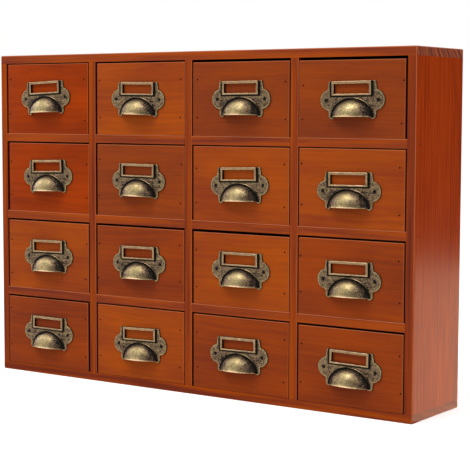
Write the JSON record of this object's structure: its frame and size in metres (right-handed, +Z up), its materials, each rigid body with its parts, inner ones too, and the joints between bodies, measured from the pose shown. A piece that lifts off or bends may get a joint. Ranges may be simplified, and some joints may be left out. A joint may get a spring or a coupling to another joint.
{
  "type": "small-drawer desk cabinet",
  "caption": "Low wooden desk cabinet with a grid of small equal drawers, each with a cast pull that joins a label frame to a finger cup.",
  "frame": {"origin": "centre of the case's underside", "axes": "+X to the right seen from the front, +Y from the front to the back, +Z up"},
  "size_m": [0.44, 0.0925, 0.298],
  "materials": {
    "case_wood": "red-brown stained wood under semi-gloss lacquer",
    "back_wood": "stained thin board, thinly lacquered",
    "front_wood": "orange-brown stained wood under semi-gloss lacquer",
    "tray_wood": "bare planed softwood",
    "aged_brass": "antique brass, darkened in the hollows and rubbed bright on the edges",
    "nail_steel": "dark steel nail heads"
  },
  "bodies": {
    "case": {"top_panel": "case_wood", "bottom_panel": "case_wood", "left_side_panel": "case_wood", "right_side_panel": "case_wood", "back_panel": "back_wood", "upright_1": "case_wood", "upright_2": "case_wood", "upright_3": "case_wood", "shelf_1": "case_wood", "shelf_2": "case_wood", "shelf_3": "case_wood", "case_nails": "nail_steel"},
    "drawer_r1c1": {"drawer_r1c1_front": "front_wood", "drawer_r1c1_tray": "tray_wood", "drawer_r1c1_hardware": "aged_brass"},
    "drawer_r1c2": {"drawer_r1c2_front": "front_wood", "drawer_r1c2_tray": "tray_wood", "drawer_r1c2_hardware": "aged_brass"},
    "drawer_r1c3": {"drawer_r1c3_front": "front_wood", "drawer_r1c3_tray": "tray_wood", "drawer_r1c3_hardware": "aged_brass"},
    "drawer_r1c4": {"drawer_r1c4_front": "front_wood", "drawer_r1c4_tray": "tray_wood", "drawer_r1c4_hardware": "aged_brass"},
    "drawer_r2c1": {"drawer_r2c1_front": "front_wood", "drawer_r2c1_tray": "tray_wood", "drawer_r2c1_hardware": "aged_brass"},
    "drawer_r2c2": {"drawer_r2c2_front": "front_wood", "drawer_r2c2_tray": "tray_wood", "drawer_r2c2_hardware": "aged_brass"},
    "drawer_r2c3": {"drawer_r2c3_front": "front_wood", "drawer_r2c3_tray": "tray_wood", "drawer_r2c3_hardware": "aged_brass"},
    "drawer_r2c4": {"drawer_r2c4_front": "front_wood", "drawer_r2c4_tray": "tray_wood", "drawer_r2c4_hardware": "aged_brass"},
    "drawer_r3c1": {"drawer_r3c1_front": "front_wood", "drawer_r3c1_tray": "tray_wood", "drawer_r3c1_hardware": "aged_brass"},
    "drawer_r3c2": {"drawer_r3c2_front": "front_wood", "drawer_r3c2_tray": "tray_wood", "drawer_r3c2_hardware": "aged_brass"},
    "drawer_r3c3": {"drawer_r3c3_front": "front_wood", "drawer_r3c3_tray": "tray_wood", "drawer_r3c3_hardware": "aged_brass"},
    "drawer_r3c4": {"drawer_r3c4_front": "front_wood", "drawer_r3c4_tray": "tray_wood", "drawer_r3c4_hardware": "aged_brass"},
    "drawer_r4c1": {"drawer_r4c1_front": "front_wood", "drawer_r4c1_tray": "tray_wood", "drawer_r4c1_hardware": "aged_brass"},
    "drawer_r4c2": {"drawer_r4c2_front": "front_wood", "drawer_r4c2_tray": "tray_wood", "drawer_r4c2_hardware": "aged_brass"},
    "drawer_r4c3": {"drawer_r4c3_front": "front_wood", "drawer_r4c3_tray": "tray_wood", "drawer_r4c3_hardware": "aged_brass"},
    "drawer_r4c4": {"drawer_r4c4_front": "front_wood", "drawer_r4c4_tray": "tray_wood", "drawer_r4c4_hardware": "aged_brass"}
  },
  "joints": [
    {"name": "drawer_r1c1_slide", "type": "slide", "parent": "case", "child": "drawer_r1c1", "axis": [0, -1, 0], "range_m": [0, 0.065]},
    {"name": "drawer_r1c2_slide", "type": "slide", "parent": "case", "child": "drawer_r1c2", "axis": [0, -1, 0], "range_m": [0, 0.065]},
    {"name": "drawer_r1c3_slide", "type": "slide", "parent": "case", "child": "drawer_r1c3", "axis": [0, -1, 0], "range_m": [0, 0.065]},
    {"name": "drawer_r1c4_slide", "type": "slide", "parent": "case", "child": "drawer_r1c4", "axis": [0, -1, 0], "range_m": [0, 0.065]},
    {"name": "drawer_r2c1_slide", "type": "slide", "parent": "case", "child": "drawer_r2c1", "axis": [0, -1, 0], "range_m": [0, 0.065]},
    {"name": "drawer_r2c2_slide", "type": "slide", "parent": "case", "child": "drawer_r2c2", "axis": [0, -1, 0], "range_m": [0, 0.065]},
    {"name": "drawer_r2c3_slide", "type": "slide", "parent": "case", "child": "drawer_r2c3", "axis": [0, -1, 0], "range_m": [0, 0.065]},
    {"name": "drawer_r2c4_slide", "type": "slide", "parent": "case", "child": "drawer_r2c4", "axis": [0, -1, 0], "range_m": [0, 0.065]},
    {"name": "drawer_r3c1_slide", "type": "slide", "parent": "case", "child": "drawer_r3c1", "axis": [0, -1, 0], "range_m": [0, 0.065]},
    {"name": "drawer_r3c2_slide", "type": "slide", "parent": "case", "child": "drawer_r3c2", "axis": [0, -1, 0], "range_m": [0, 0.065]},
    {"name": "drawer_r3c3_slide", "type": "slide", "parent": "case", "child": "drawer_r3c3", "axis": [0, -1, 0], "range_m": [0, 0.065]},
    {"name": "drawer_r3c4_slide", "type": "slide", "parent": "case", "child": "drawer_r3c4", "axis": [0, -1, 0], "range_m": [0, 0.065]},
    {"name": "drawer_r4c1_slide", "type": "slide", "parent": "case", "child": "drawer_r4c1", "axis": [0, -1, 0], "range_m": [0, 0.065]},
    {"name": "drawer_r4c2_slide", "type": "slide", "parent": "case", "child": "drawer_r4c2", "axis": [0, -1, 0], "range_m": [0, 0.065]},
    {"name": "drawer_r4c3_slide", "type": "slide", "parent": "case", "child": "drawer_r4c3", "axis": [0, -1, 0], "range_m": [0, 0.065]},
    {"name": "drawer_r4c4_slide", "type": "slide", "parent": "case", "child": "drawer_r4c4", "axis": [0, -1, 0], "range_m": [0, 0.065]}
  ]
}
